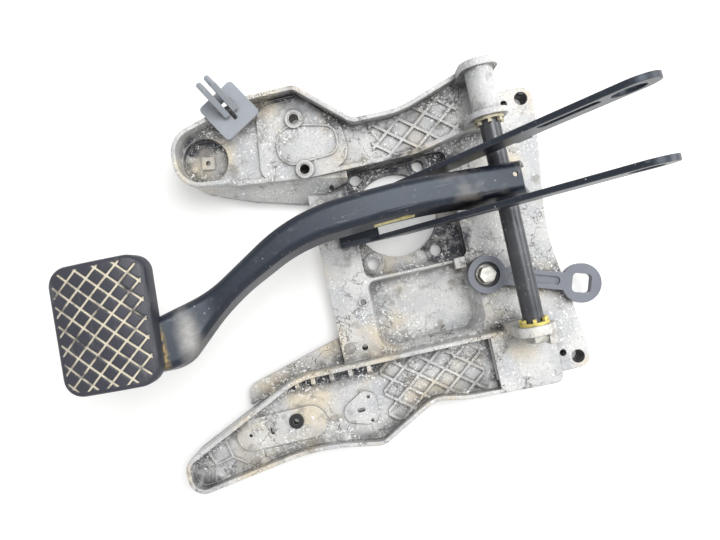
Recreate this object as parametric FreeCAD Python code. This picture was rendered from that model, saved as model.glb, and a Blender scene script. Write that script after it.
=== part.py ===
"""Brake pedal with the die-cast bracket that carries it, in millimetres.

The origin is the centre of the booster opening, on the mounting face at z = 0. +X runs from the
pad towards the pivot, +Y along the pivot bolt and +Z towards the driver's foot.
"""
import FreeCAD
import Part
import math
import os
from FreeCAD import Vector

ALONG_X = Vector(1, 0, 0)
ALONG_Y = Vector(0, 1, 0)
ALONG_Z = Vector(0, 0, 1)
OVER = 1.0                      # how far a cutter runs past the faces that it opens
ROUND = 0.98                    # share of a half width that a round end may take
FAR = 400.0                     # reach of a cutter that clears the whole part

# Fits
running_fit = 0.05              # radial clearance of pieces that turn or slide on each other
seat_fit = 0.05                 # radial clearance of pieces pushed or welded into a hole
end_play = 0.1                  # axial clearance of the hub between its bushes
bolt_clearance = 0.1            # radial clearance of bolts in plain holes
head_chamfer = 0.6              # how far the corners of bolt heads are turned down

# Pivot line, parallel to Y
pivot_x = 71.0
pivot_z = 60.0
pivot_bolt_r = 4.0
pivot_head_flats = 13.0
pivot_head_h = 5.3
tube_r = 7.0
tube_wall = 1.5
bush_flange_r = 10.0
bush_flange_t = 2.0
bush_spigot_len = 16.0
bush_tooth_count = 7
bush_tooth_h = 2.5
bush_tooth_w = 2.4
bush_tooth_gap = 0.4
bush_tooth_inset = 0.3

# Pivot ears
lower_ear_face = -96.5          # Y of the face that the lower bush bears on
lower_ear_t = 6.5
upper_ear_face = 46.0           # Y of the face that the upper bush bears on
upper_ear_t = 4.0
ear_outer_face = 84.0           # Y of the outside of the upper ear
ear_outer_t = 5.0
ear_boss_r = 9.5
ear_half_width = 13.0
ear_cap_r = 11.0
ear_rise = 12.0                 # height of the ears above the pivot line
ear_web_t = 5.0                 # web that holds the lower ear from behind
ear_web_len = 9.0
ear_bolt_room = 20.0            # depth of the bolt hole from the lower ear's face

# Casting levels and walls
band_z = 18.0                   # cross band and right-hand plateau
shelf_z = 9.0                   # booster shelf
pocket_z = 5.0                  # floor of the deep pocket
plate_skin = 5.0                # thickness left above the hollows under the plate
leg_wall = 3.2
leg_skin = 4.0
rim_round = 1.2
upper_floor_z = 35.0
upper_rim_z = 48.0
inner_rim_h = 1.5               # low rim on the inner side of the upper leg
lower_floor_z = 20.0
lower_rim_z = 30.0
lower_flange_z = 12.0
lower_flange_t = 5.0
low_side_y = 56.0               # the upper leg's rim is low on the inner side of this line
slope_low_z = 13.0              # outer edge of the sloping shelf of the upper leg
slope_run = 14.0
slope_x = -58.0                 # a point on the upper edge of the slope
slope_y = 37.5
slope_turn = -11.0              # degrees about Z
lower_wall_y = -101.0           # inner side of the lower leg
flange_lap = 2.0                # how far the flange reaches into the lower leg's wall
tray_end_x = 46.0               # right-hand end of the lower tray
rib_h = 1.6
rib_w = 2.0
rib_pitch = 12.0
rib_turn = 38.0                 # degrees to each side of X
tip_rib_h = 1.0
tip_rib_w = 1.4

# Plate openings
opening_r = 31.7
booster_hole_r = 4.5
booster_dx = 24.4
booster_dy = 32.8
booster_pad_r = 8.0
booster_pad_h = 1.0
lug_x = 109.5
upper_lug_y = 64.0
lower_lug_y = -133.5
lug_r = 8.5
lug_hole_r = 5.0
side_hole_r = 2.6
band_hole_r = 2.25
band_ring_r = 3.6
band_ring_h = 0.6
dowel_x = -56.0
dowel_y = -91.0
dowel_r = 4.0
dowel_len = 9.0
dowel_proud = 0.8
block_x = 38.0                  # stop block between the shelf and the link
block_y = -46.0
block_side = 8.0
block_rise = 3.0

# Upper leg features
cup_x = -127.0
cup_y = 65.0
cup_r = 16.5
cup_floor_z = 27.0
cup_hole_r = 1.75
cup_boss_side = 9.5
cup_boss_h = 1.0
cup_boss_turn = -8.0            # degrees about Z
cup_mark_r = 2.4
cup_mark_h = 0.5
shelf_hole_x = -43.0
shelf_hole_y = 28.3
shelf_hole_r = 1.75
boss_x = -58.5
boss_y = 61.75
boss_spacing = 36.5
boss_r = 6.5
boss_h = 2.5
boss_depth = 12.0
insert_r = 4.6
insert_wall = 1.1
kidney_h = 1.5
kidney_line = 1.2

# Lower leg features
grommet_x = -106.2
grommet_y = -134.4
grommet_hole_r = 4.5
grommet_flange_r = 5.4
grommet_flange_t = 1.6
grommet_bore_r = 2.0
pad_raise = 1.2
gusset_w = 3.2
gusset_len = 9.0
gusset_top = 4.5                # length along its upper edge
gusset_drop = 1.5               # how far it stays below the rim
tray_hole_r = 1.3

# Pedal arm, a folded channel
arm_sheet = 3.0
arm_fold_r = 5.0
arm_front_x = 76.5              # end of the top face past the pivot
arm_front_z = 86.0
arm_bend_x = -130.0             # where the top face turns up towards the pad
arm_bend_r = 40.0
arm_lobe_r = 14.0               # walls round the hub tube
arm_tail_x = -192.0             # end under the pad
arm_tail_h = 14.0
arm_flare = 8.0                 # degrees, how far the -Y wall leans outwards
arm_flare_z = 88.0              # height at which that wall is on its outline
pin_x = 0.0
pin_z = 75.0
pin_hole_r = 5.0
drain_x = 72.5
drain_y = 2.5
drain_r = 1.6

# Pad, crowned about an axis parallel to Y
crown_r = 119.0                 # underside of the foot plate
crown_x = -198.0
crown_z = 113.0                 # highest line of the underside
plate_t = 3.0
plate_inset = 3.0
rubber_t = 6.0
rubber_fit = 0.15
lip_t = 2.5
lip_w = 5.0
pad_x = -185.0
pad_y = -33.8
pad_w = 53.7
pad_h = 77.0
pad_corner_r = 11.0
pad_cut = 3.0                   # how much lower the outer top corner is
pad_rim_r = 2.5
pad_turn = -3.4                 # degrees about Z
arm_gap = 0.5                   # room in the lip round the arm
groove_w = 1.1
groove_depth = 1.4
groove_pitch = 8.0
groove_margin = 3.5

# Support fork, one folded sheet
fork_sheet = 3.5
fork_foot_x = -46.0
fork_base_end_x = -16.0
fork_flange_h = 9.0
fork_lower_y = -15.0            # middle of the lower stay
fork_upper_y = 17.0             # middle of the upper stay at its foot
fork_splay = 4.3                # degrees, upper stay only
fork_axis_z = 30.0              # height of the stays' middle line at x = 0
fork_eye_x = 118.0
fork_eye_z = 152.0
fork_width = 28.0
fork_eye_r = 16.0
fork_hole_r = 9.0
tab_near = 66.0
tab_len = 10.0
tab_h = 6.0
window_near = 13.0
window_len = 36.0
window_low = 1.0
window_h = 9.0
bead_near = 88.0
bead_len = 42.0
bead_h = 7.0
bead_depth = 1.2
fork_bolt_x = -40.0
fork_bolt_y = 4.0
fork_bolt_spacing = 11.0
fork_bolt_r = 2.5
fork_bolt_flats = 8.0
fork_bolt_head_h = 3.6
fork_bolt_grip = 16.0
fork_washer_r = 5.0
fork_washer_t = 1.0

# Link lever
link_hub_x = 54.5
link_hub_y = -58.6
link_hub_r = 14.0
link_hub_h = 9.0
link_bore_r = 9.5
link_floor = 3.0
link_eye_x = 121.5
link_eye_y = -80.0
link_eye_r = 14.6
link_square = 14.0
link_square_r = 3.0
link_web_w = 13.0
link_lift = 1.0
link_t = 6.0
link_channel_w = 6.5
link_channel_end = 1.5          # land left between the channel and the hub or the eye
link_channel_depth = 1.5
link_bolt_r = 4.0
link_bolt_flats = 11.0
link_bolt_head_h = 7.0
link_bolt_grip = 14.0
link_washer_r = 7.5
link_washer_t = 1.5

# Harness clip
clip_x = -100.0
clip_y = 92.0
clip_side = 30.0
clip_t = 2.5
clip_corner_r = 3.0
clip_turn = 31.0                # degrees about Z
clip_slot_w = 3.0
clip_slot_len = 15.0
clip_prong_t = 4.0
clip_prong_w = 11.0
clip_prong_len = 27.0
clip_prong_lean = 32.0          # degrees from upright

# Outlines of the casting, as (x, y, corner radius)
UPPER_LEG = [
    (-147.0, 84.2, 19.0),
    (-88.0, 100.5, 12.0),
    (-53.0, 101.0, 8.0),
    (-18.0, 69.5, 8.0),
    (15.0, 69.3, 60.0),
    (58.0, ear_outer_face, 8.0),
    (pivot_x + ear_half_width, ear_outer_face, 6.0),
    (pivot_x + ear_half_width, upper_ear_face, 3.0),
    (60.0, upper_ear_face, 10.0),
    (22.0, 37.3, 40.0),
    (-58.0, 37.3, 40.0),
    (-147.0, 47.0, 19.0),
]
UPPER_SHELF = [
    (-62.0, 22.0, 4.0),
    (-30.0, 30.0, 4.0),
    (-30.0, 50.0, 2.0),
    (-135.0, 60.0, 2.0),
    (-135.0, 46.0, 12.0),
    (-104.0, 34.0, 60.0),
]
KIDNEY = [
    (-91.0, 40.0, 10.0),
    (-24.0, 40.0, 14.0),
    (-27.0, 72.0, 16.0),
    (-52.0, 95.0, 8.0),
    (-84.0, 94.0, 12.0),
]
KIDNEY_INNER = [
    (-76.0, 47.0, 12.0),
    (-48.0, 49.0, 6.0),
    (-31.0, 50.0, 9.0),
    (-31.0, 70.0, 9.0),
    (-46.0, 74.0, 6.0),
    (-74.0, 80.0, 14.0),
]
LOWER_LEG = [
    (-192.0, -145.5, 12.0),
    (-190.5, -172.0, 12.0),
    (-92.0, -155.5, 150.0),
    (-46.0, -164.0, 14.0),
    (-2.0, -140.0, 20.0),
    (20.0, -144.5, 60.0),
    (92.0, -147.0, 6.0),
    (92.0, lower_wall_y, 4.0),
    (-98.0, lower_wall_y, 60.0),
]
LOWER_FLANGE = [
    (-139.0, -118.0, 2.0),
    (-137.0, -103.0, 7.0),
    (-63.0, -82.0, 3.0),
    (-50.0, -82.0, 2.0),
    (-50.0, -104.0, 2.0),
    (-120.0, -112.0, 2.0),
]
LOWER_PAD_LONG = [
    (-152.0, -126.0, 12.0),
    (-152.0, -149.0, 11.0),
    (-84.0, -149.0, 11.0),
    (-84.0, -125.0, 12.0),
]
LOWER_PAD_SHORT = [
    (-82.0, -140.0, 8.0),
    (-45.0, -151.0, 8.0),
    (-45.0, -117.5, 8.0),
]
MAIN_PLATE = [
    (-62.0, -104.0, 2.0),
    (86.0, -104.0, 2.0),
    (86.0, lower_lug_y - lug_r, 2.0),
    (lug_x + lug_r, lower_lug_y - lug_r, lug_r * ROUND),
    (lug_x + lug_r, lower_lug_y + lug_r + 4.0, 8.0),
    (106.5, -38.0, 150.0),
    (lug_x + lug_r, upper_lug_y - lug_r - 4.0, 8.0),
    (lug_x + lug_r, upper_lug_y + lug_r, lug_r * ROUND),
    (80.0, upper_lug_y + lug_r, 2.0),
    (80.0, 48.0, 2.0),
    (-62.0, 48.0, 2.0),
]
SIDE_HOLES = ((96.1, 62.6), (99.0, -128.6))
BAND_HOLES = ((-38.5, -59.0), (-44.7, -92.5))
CUP_MARKS = ((3.0, 9.5), (-8.5, -8.0), (9.0, -7.0))      # from the cup's centre
UPPER_RIBS = ((-8.0, 56.0), (40.0, 74.0))                # X and Y range of the crossing ribs
LOWER_RIBS = ((-38.0, 38.0), (-150.0, -106.0))
GUSSETS_X = (-99.0, -87.0, -73.0, -59.0, -45.0)
TRAY_HOLES = ((-141.5, -137.5), (-50.3, -128.2), (-50.9, -146.0))
TRAY_SLOTS = ((-125.1, -137.5, 3.0, 5.5), (-57.5, -136.9, 6.0, 3.0))     # x, y, width, length
TIP_RIBS = [                     # ends of the low ribs at the tip of the lower leg
    ((-150.0, -126.0), (-161.0, -137.0)),
    ((-161.0, -137.0), (-176.0, -141.0)),
    ((-161.0, -137.0), (-158.0, -150.0)),
    ((-158.0, -150.0), (-148.0, -157.0)),
    ((-158.0, -150.0), (-171.0, -153.0)),
    ((-171.0, -153.0), (-176.0, -141.0)),
    ((-171.0, -153.0), (-174.0, -164.0)),
]
PLATE_HOLLOWS = ((-57.5, -37.5, -80.0, 15.0), (54.0, 100.0, -92.0, 36.0))
SHELF = [
    (-33.0, -43.0, 6.0),
    (45.0, -43.0, 6.0),
    (45.0, 39.0, 6.0),
    (-33.0, 39.0, 6.0),
]
POCKET_TOP = [
    (-33.0, -99.0, 12.0),
    (48.5, -99.0, 12.0),
    (48.5, -45.0, 12.0),
    (-33.0, -45.0, 6.0),
]
POCKET_FLOOR = [
    (-30.0, -95.0, 10.0),
    (41.0, -95.0, 10.0),
    (41.0, -47.0, 10.0),
    (-30.0, -47.0, 4.0),
]

# Outline of the arm seen from above: the +Y edge, then the -Y edge back
ARM_UPPER_EDGE = [
    (0.0, 14.6, 400.0),
    (-70.0, 9.5, 120.0),
    (-130.0, -28.0, 90.0),
]
ARM_LOWER_EDGE = [
    (-152.0, -70.7, 22.0),
    (-118.0, -36.5, 120.0),
    (-68.0, -11.0, 100.0),
    (0.0, -5.8, 400.0),
]
ARM_FRONT = (10.5, -9.3)        # Y of the two edges at the pivot end
ARM_TAIL = (-45.0, -70.4)       # Y of the two edges under the pad

# Lower edge of the arm's walls, as (x, z, corner radius)
ARM_WALL_FOOT = [
    (-165.0, 84.0, 40.0),
    (-120.0, 70.0, 60.0),
    (-60.0, 64.0, 200.0),
    (36.0, 60.0, 25.0),
]


# Shape helpers

def outline(corners):
    """Closed wire through (x, y, radius) corners, each rounded by its own radius."""
    points = [Vector(x, y, 0) for x, y, _ in corners]
    entries = []
    leaves = []
    arcs = []
    for index, (_, _, radius) in enumerate(corners):
        here = points[index]
        to_last = (points[index - 1] - here).normalize()
        to_next = (points[(index + 1) % len(points)] - here).normalize()
        half = to_last.getAngle(to_next) / 2
        reach = radius / math.tan(half)
        entry = here + to_last * reach
        leave = here + to_next * reach
        entries.append(entry)
        leaves.append(leave)
        if radius > 0:
            inward = (to_last + to_next).normalize()
            middle = here + inward * (radius / math.sin(half) - radius)
            arcs.append(Part.Arc(entry, middle, leave).toShape())
        else:
            arcs.append(None)
    edges = []
    for index, arc in enumerate(arcs):
        start = leaves[index - 1]
        if start.distanceToPoint(entries[index]) > 1e-6:
            edges.append(Part.LineSegment(start, entries[index]).toShape())
        if arc is not None:
            edges.append(arc)
    return Part.Wire(edges)


def slab(corners, z_low, z_high, inset=0.0, lean=0.0):
    """Prism of an outline, moved in by inset, between two heights; lean is its shift in Y per height."""
    face = Part.Face(outline(corners))
    if inset:
        face = face.makeOffset2D(-inset, 2)
    face.translate(ALONG_Z * z_low)
    return face.extrude(Vector(0, lean, 1) * (z_high - z_low))


def rectangle(x, y, width, height, radius=0.0):
    """Corners of a rectangle about a centre."""
    half_w = width / 2
    half_h = height / 2
    return [(x - half_w, y - half_h, radius), (x + half_w, y - half_h, radius),
            (x + half_w, y + half_h, radius), (x - half_w, y + half_h, radius)]


def side_slab(corners, y_low, y_high):
    """Prism of an (x, z, radius) outline between two Y planes."""
    solid = slab(corners, 0, y_high - y_low)
    solid.rotate(Vector(), ALONG_X, 90)
    solid.translate(ALONG_Y * y_high)
    return solid


def rounded_rim(solid, z_top, radius):
    """Solid with the edges of its top face at z_top rounded."""
    edges = [edge for edge in solid.Edges
             if abs(edge.BoundBox.ZMin - z_top) < 1e-6 and edge.BoundBox.ZLength < 1e-6]
    return solid.makeFillet(radius, edges)


def box(x_low, x_high, y_low, y_high, z_low, z_high):
    """Block between two corners."""
    corner = Vector(x_low, y_low, z_low)
    return Part.makeBox(x_high - x_low, y_high - y_low, z_high - z_low, corner)


def post(x, y, radius, z_low, z_high):
    """Upright cylinder."""
    return Part.makeCylinder(radius, z_high - z_low, Vector(x, y, z_low), ALONG_Z)


def pivot_rod(radius, y_low, y_high):
    """Cylinder on the pivot line."""
    return Part.makeCylinder(radius, y_high - y_low, Vector(pivot_x, y_low, pivot_z), ALONG_Y)


def hexagon(flats, height):
    """Upright hexagon prism on the origin, with two flats parallel to X."""
    corner_r = flats / math.sqrt(3)
    angles = [math.radians(60 * k) for k in range(6)]
    corners = [(corner_r * math.cos(angle), corner_r * math.sin(angle), 0.0) for angle in angles]
    chamfer = Part.makeCone(corner_r + height, corner_r - head_chamfer, height)
    return slab(corners, 0, height).common(chamfer)


def fuse(shapes):
    """One solid made of shapes that meet."""
    return shapes[0].multiFuse(shapes[1:]).removeSplitter()


def tip_rib(start, end):
    """Low rib on the lower tray's floor between two places."""
    run = Vector(end[0] - start[0], end[1] - start[1], 0)
    bar = box(-tip_rib_w / 2, run.Length + tip_rib_w / 2, -tip_rib_w / 2, tip_rib_w / 2,
              lower_floor_z - OVER, lower_floor_z + tip_rib_h)
    bar.rotate(Vector(), ALONG_Z, math.degrees(math.atan2(run.y, run.x)))
    bar.translate(Vector(start[0], start[1], 0))
    return bar


def diamond_ribs(region, z_floor, x_range, y_range):
    """Low crossing ribs on a floor, clipped to a region."""
    x_middle = sum(x_range) / 2
    y_middle = sum(y_range) / 2
    reach = math.hypot(x_range[1] - x_range[0], y_range[1] - y_range[0])
    count = int(reach / rib_pitch / 2)
    bars = []
    for turn in (rib_turn, -rib_turn):
        for k in range(-count, count + 1):
            bar = box(-reach / 2, reach / 2, -rib_w / 2, rib_w / 2, z_floor - OVER, z_floor + rib_h)
            bar.translate(ALONG_Y * (k * rib_pitch))
            bar.rotate(Vector(), ALONG_Z, turn)
            bar.translate(Vector(x_middle, y_middle, 0))
            bars.append(bar)
    field = box(*x_range, *y_range, z_floor - OVER, z_floor + rib_h)
    return fuse(bars).common(field).common(region)


# Bracket casting

def upper_leg():
    """Long leg with the cup, the clutch boss plate and the upper pivot ear."""
    body = rounded_rim(slab(UPPER_LEG, 0, upper_rim_z), upper_rim_z, rim_round)
    tray = slab(UPPER_LEG, upper_floor_z, upper_rim_z + OVER, leg_wall)
    low_side = box(cup_x + cup_r, pivot_x + ear_half_width + OVER, 0, low_side_y,
                   upper_floor_z + inner_rim_h, upper_rim_z + OVER)
    hollow = slab(UPPER_LEG, -OVER, upper_floor_z - leg_skin, leg_wall)
    leg = body.cut([tray, low_side, hollow])

    slope_top = upper_floor_z - inner_rim_h
    shelf = slab(UPPER_SHELF, 0, slope_top)
    slope = math.degrees(math.atan2(slope_top - slope_low_z, slope_run))
    above = box(-FAR, FAR, -FAR, 0, 0, FAR)
    above.rotate(Vector(), ALONG_X, slope)
    above.rotate(Vector(), ALONG_Z, slope_turn)
    above.translate(Vector(slope_x, slope_y, slope_top))
    under = slab(UPPER_SHELF, -OVER, slope_low_z - leg_skin, leg_wall)
    shelf = shelf.cut([above, under, hollow])

    cup_wall = post(cup_x, cup_y, cup_r + leg_wall, cup_floor_z - leg_skin, upper_floor_z)
    outer = slab(UPPER_LEG, 0, upper_rim_z)
    bosses = [post(boss_x, y, boss_r, upper_floor_z - boss_depth, upper_floor_z + kidney_h + boss_h)
              for y in boss_places()]
    kidney = slab(KIDNEY, upper_floor_z - OVER, upper_floor_z + kidney_h).common(outer)
    line = slab(KIDNEY_INNER, upper_floor_z, upper_floor_z + kidney_h + kidney_line)
    line = line.cut(slab(KIDNEY_INNER, upper_floor_z - OVER, upper_rim_z, kidney_line))
    ribs = diamond_ribs(outer, upper_floor_z, *UPPER_RIBS)
    leg = fuse([leg, shelf, cup_wall.common(outer), kidney, line, ribs] + bosses + upper_ear())

    leg = leg.cut(post(cup_x, cup_y, cup_r, cup_floor_z, upper_rim_z + OVER))
    leg = fuse([leg] + cup_marks())
    cuts = [post(cup_x, cup_y, cup_hole_r, 0, upper_floor_z)]
    for y in boss_places():
        cuts.append(post(boss_x, y, insert_r + seat_fit, 0, upper_rim_z))
    cuts.append(post(shelf_hole_x, shelf_hole_y, shelf_hole_r, -OVER, upper_rim_z))
    return leg.cut(cuts)


def cup_marks():
    """Square boss and small round marks on the cup's floor."""
    low = cup_floor_z - OVER
    boss = slab(rectangle(0, 0, cup_boss_side, cup_boss_side, OVER), low, cup_floor_z + cup_boss_h)
    boss.rotate(Vector(), ALONG_Z, cup_boss_turn)
    boss.translate(Vector(cup_x, cup_y, 0))
    high = cup_floor_z + cup_mark_h
    return [boss] + [post(cup_x + x, cup_y + y, cup_mark_r, low, high) for x, y in CUP_MARKS]


def boss_places():
    """Y of the two insert bosses on the upper leg."""
    return (boss_y - boss_spacing / 2, boss_y + boss_spacing / 2)


def ear_wall(y_low, y_high, z_foot):
    """Upright wall with a rounded top, centred on the pivot line."""
    left = pivot_x - ear_half_width
    right = pivot_x + ear_half_width
    top = pivot_z + ear_rise
    corners = [(left, z_foot, 0), (right, z_foot, 0), (right, top, ear_cap_r), (left, top, ear_cap_r)]
    return side_slab(corners, y_low, y_high)


def upper_ear():
    """Two walls and the bolt boss between them."""
    inner = ear_wall(upper_ear_face, upper_ear_face + upper_ear_t, band_z)
    outer = ear_wall(ear_outer_face - ear_outer_t, ear_outer_face, band_z)
    boss = pivot_rod(ear_boss_r, upper_ear_face, ear_outer_face)
    return [inner, outer, boss]


def lower_leg():
    """Long leg with the tray, its gussets and the flange along its inner side."""
    body = rounded_rim(slab(LOWER_LEG, 0, lower_rim_z), lower_rim_z, rim_round)
    tray_end = box(-FAR, tray_end_x, -FAR, 0, -OVER, lower_rim_z + OVER)
    tray = slab(LOWER_LEG, lower_floor_z, lower_rim_z + OVER, leg_wall).common(tray_end)
    hollow = slab(LOWER_LEG, -OVER, lower_floor_z - leg_skin, leg_wall)
    high_hollow = slab(LOWER_LEG, -OVER, lower_rim_z - leg_skin, leg_wall).cut(tray_end)
    leg = body.cut([tray, hollow, high_hollow])

    flange = slab(LOWER_FLANGE, lower_flange_z - lower_flange_t, lower_flange_z)
    flange = flange.cut(slab(LOWER_LEG, 0, lower_rim_z, flange_lap))
    pads = [slab(corners, lower_floor_z - OVER, lower_floor_z + pad_raise)
            for corners in (LOWER_PAD_LONG, LOWER_PAD_SHORT)]
    outer = slab(LOWER_LEG, 0, lower_rim_z)
    gussets = [gusset(x, lower_wall_y - leg_wall).common(outer) for x in GUSSETS_X]
    ribs = diamond_ribs(outer, lower_floor_z, *LOWER_RIBS)
    tip_ribs = fuse([tip_rib(start, end) for start, end in TIP_RIBS]).common(outer)
    leg = fuse([leg, flange, ribs, tip_ribs] + pads + gussets)

    cuts = [post(grommet_x, grommet_y, grommet_hole_r, 0, lower_rim_z)]
    cuts += [post(x, y, tray_hole_r, 0, lower_rim_z) for x, y in TRAY_HOLES]
    cuts += [slot(*place) for place in TRAY_SLOTS]
    return leg.cut(cuts)


def slot(x, y, width, length):
    """Upright cutter for a slot through the floor of the lower leg."""
    radius = min(width, length) / 2 * ROUND
    return slab(rectangle(x, y, width, length, radius), 0, lower_rim_z)


def gusset(x, wall_y):
    """Triangular web between the tray's wall and its floor."""
    low = lower_floor_z - OVER
    high = lower_rim_z - gusset_drop
    side_x = x - gusset_w / 2
    root_y = wall_y + OVER
    corners = [(root_y, low), (wall_y - gusset_len, low), (wall_y - gusset_top, high), (root_y, high)]
    points = [Vector(side_x, y, z) for y, z in corners]
    face = Part.Face(Part.makePolygon(points + points[:1]))
    return face.extrude(ALONG_X * gusset_w)


def main_plate():
    """Plate with the booster opening, the deep pocket, the lugs and the lower pivot ear."""
    plate = slab(MAIN_PLATE, 0, band_z)
    ear = ear_wall(lower_ear_face - lower_ear_t, lower_ear_face, pocket_z)
    web_x = pivot_x + ear_half_width
    web_y = lower_ear_face - lower_ear_t - ear_web_len
    web = box(web_x - ear_web_t, web_x, web_y, lower_ear_face - OVER, 0, pivot_z)
    block = slab(rectangle(block_x, block_y, block_side, block_side), pocket_z, band_z + block_rise)
    rings = [post(x, y, band_ring_r, pocket_z, band_z + band_ring_h) for x, y in BAND_HOLES[:1]]
    plate = fuse([plate, ear, web] + rings)

    pocket = Part.makeLoft([lifted(outline(POCKET_FLOOR), pocket_z), lifted(outline(POCKET_TOP), band_z),
                            lifted(outline(POCKET_TOP), band_z + OVER)], True, True)
    shelf = slab(SHELF, shelf_z, FAR)
    plate = plate.cut([pocket, shelf])
    pads = [post(x, y, booster_pad_r, shelf_z - OVER, shelf_z + booster_pad_h) for x, y in booster_places()]
    plate = fuse([plate, block] + pads)
    cuts = [box(*sides, -OVER, band_z - plate_skin) for sides in PLATE_HOLLOWS]
    cuts.append(post(0, 0, opening_r, -OVER, FAR))
    cuts += [post(x, y, booster_hole_r, -OVER, FAR) for x, y in booster_places()]
    return plate.cut(cuts)


def lifted(wire, z):
    """Wire moved up to a height."""
    wire.translate(ALONG_Z * z)
    return wire


def booster_places():
    """Centres of the four booster holes."""
    return [(x, y) for x in (-booster_dx, booster_dx) for y in (-booster_dy, booster_dy)]


def bracket():
    """The whole casting as one solid, with its bolt holes."""
    body = fuse([main_plate(), upper_leg(), lower_leg()])
    bolt_hole_r = pivot_bolt_r + bolt_clearance
    cuts = [pivot_rod(bolt_hole_r, lower_ear_face - ear_bolt_room, lower_ear_face + OVER)]
    cuts.append(pivot_rod(bolt_hole_r, upper_ear_face - OVER, ear_outer_face - ear_outer_t))
    for y in (upper_lug_y, lower_lug_y):
        cuts.append(post(lug_x, y, lug_hole_r, -OVER, band_z + OVER))
    cuts.append(post(dowel_x, dowel_y, dowel_r + seat_fit, band_z - dowel_len + dowel_proud, band_z + OVER))
    for y in fork_bolt_places():
        cuts.append(post(fork_bolt_x, y, fork_bolt_r + bolt_clearance, -OVER, band_z + OVER))
    cuts.append(post(link_hub_x, link_hub_y, link_bolt_r + bolt_clearance, -OVER, band_z + OVER))
    cuts += [post(x, y, side_hole_r, -OVER, band_z + OVER) for x, y in SIDE_HOLES]
    cuts += [post(x, y, band_hole_r, -OVER, band_z + OVER) for x, y in BAND_HOLES]
    return body.cut(cuts)


# Pedal

def crown_rod(radius):
    """Cylinder about the pad's crown axis, long enough to cover the pad."""
    reach = 3 * pad_h
    return Part.makeCylinder(radius, reach, Vector(crown_x, pad_y - reach / 2, crown_z - crown_r), ALONG_Y)


def crown_slope(x):
    """Angle of the crown at an X value, in radians, positive where it falls towards +X."""
    return math.asin((x - crown_x) / crown_r)


def crown_tangent(x_touch, x):
    """Height at x of the line, seen along Y, that touches the plate's underside at x_touch."""
    slope = crown_slope(x_touch)
    touch_z = crown_z - crown_r + crown_r * math.cos(slope)
    return touch_z - (x - x_touch) * math.tan(slope)


def crown_corner(x_first, x_last):
    """Corner, seen along Y, whose rounding is the plate's underside between two X values."""
    first = crown_slope(x_first)
    last = crown_slope(x_last)
    middle = (first + last) / 2
    reach = crown_r / math.cos((first - last) / 2)
    return (crown_x + reach * math.sin(middle), crown_z - crown_r + reach * math.cos(middle), crown_r)


def arm_plan(past_ends, lower_shift):
    """Outline of the arm seen from above, run on past both ends, with its -Y edge shifted."""
    front = pivot_x + arm_lobe_r + past_ends
    tail = arm_tail_x - past_ends
    upper = [(front, ARM_FRONT[0], 0.0)] + ARM_UPPER_EDGE + [(tail, ARM_TAIL[0], 0.0)]
    lower = [(tail, ARM_TAIL[1], 0.0)] + ARM_LOWER_EDGE + [(front, ARM_FRONT[1], 0.0)]
    return upper + [(x, y + lower_shift, radius) for x, y, radius in lower]


def arm_prism(inset=0.0, past_ends=0.0):
    """The arm's outline at every height, moved in by inset: upright at +Y, leaning outwards at -Y."""
    low = pivot_z - 2 * arm_lobe_r
    high = crown_z + 2 * arm_sheet
    lean = math.tan(math.radians(arm_flare))
    corners = arm_plan(past_ends, (high - arm_flare_z) * lean)
    layers = []
    for share in (0.0, 0.5, 1.0):
        layer = slab(corners, low, high, inset, share * lean)
        layer.translate(ALONG_Y * (share * lean * (low - high)))
        layers.append(layer)
    return fuse(layers)


def arm_side(drop=0.0, past_ends=0.0):
    """Outline of the arm seen along Y, as (x, z, radius), lowered by drop."""
    lobe_low = pivot_z - arm_lobe_r
    lobe_left = pivot_x - arm_lobe_r
    lobe_right = pivot_x + arm_lobe_r
    pad_edge_x = pad_x + pad_w / 2
    tail_x = arm_tail_x - past_ends
    tail_z = crown_tangent(arm_tail_x, tail_x)
    top = [
        (arm_front_x + past_ends, arm_front_z, 0.0),
        (arm_bend_x, crown_tangent(pad_edge_x, arm_bend_x), arm_bend_r),
        crown_corner(pad_edge_x, arm_tail_x),
        (tail_x, tail_z, 0.0),
        (tail_x, tail_z - arm_tail_h, 0.0),
    ]
    lobe = [
        (lobe_left, lobe_low, arm_lobe_r * ROUND),
        (lobe_right + past_ends, lobe_low, arm_lobe_r * ROUND),
        (lobe_right + past_ends, pivot_z + arm_lobe_r / 2, 0.0),
    ]
    return [(x, z - drop, radius) for x, z, radius in top + ARM_WALL_FOOT + lobe]


def fold_edges(solid):
    """Long upper edges of a channel form, where the sheet folds down into the walls."""
    chosen = []
    for edge in solid.Edges:
        half_way = (edge.FirstParameter + edge.LastParameter) / 2
        middle = edge.valueAt(half_way)
        along = edge.tangentAt(half_way)
        across_or_upright = abs(along.y) > 0.98 or abs(along.z) > 0.9
        if middle.z > arm_front_z - 2 * arm_sheet and middle.x < arm_front_x and not across_or_upright:
            chosen.append(edge)
    return chosen


def arm_form(inset, drop, past_ends, fold_r):
    """Solid form of the arm: its plan and its side view intersected, with rounded folds."""
    side = side_slab(arm_side(drop, past_ends), -2 * pad_h, 2 * pad_h)
    form = arm_prism(inset, past_ends).common(side)
    edges = [edge for edge in fold_edges(form)
             if edge.BoundBox.ZMax > arm_front_z - drop - 2 * arm_sheet]
    return form.makeFillet(fold_r, edges)


def pedal_arm():
    """Folded channel, open below and at both ends, with holes for the tube and the push-rod pin."""
    arm = arm_form(0, 0, 0, arm_fold_r)
    arm = arm.cut(arm_form(arm_sheet, arm_sheet, 4 * arm_sheet, arm_fold_r - arm_sheet))
    pin = Part.makeCylinder(pin_hole_r, 4 * pad_h, Vector(pin_x, -2 * pad_h, pin_z), ALONG_Y)
    drain = post(drain_x, drain_y, drain_r, pivot_z, 2 * crown_z)
    hub = pivot_rod(tube_r + seat_fit, -pad_h, pad_h)
    return arm.cut([pin, drain, hub])


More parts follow.
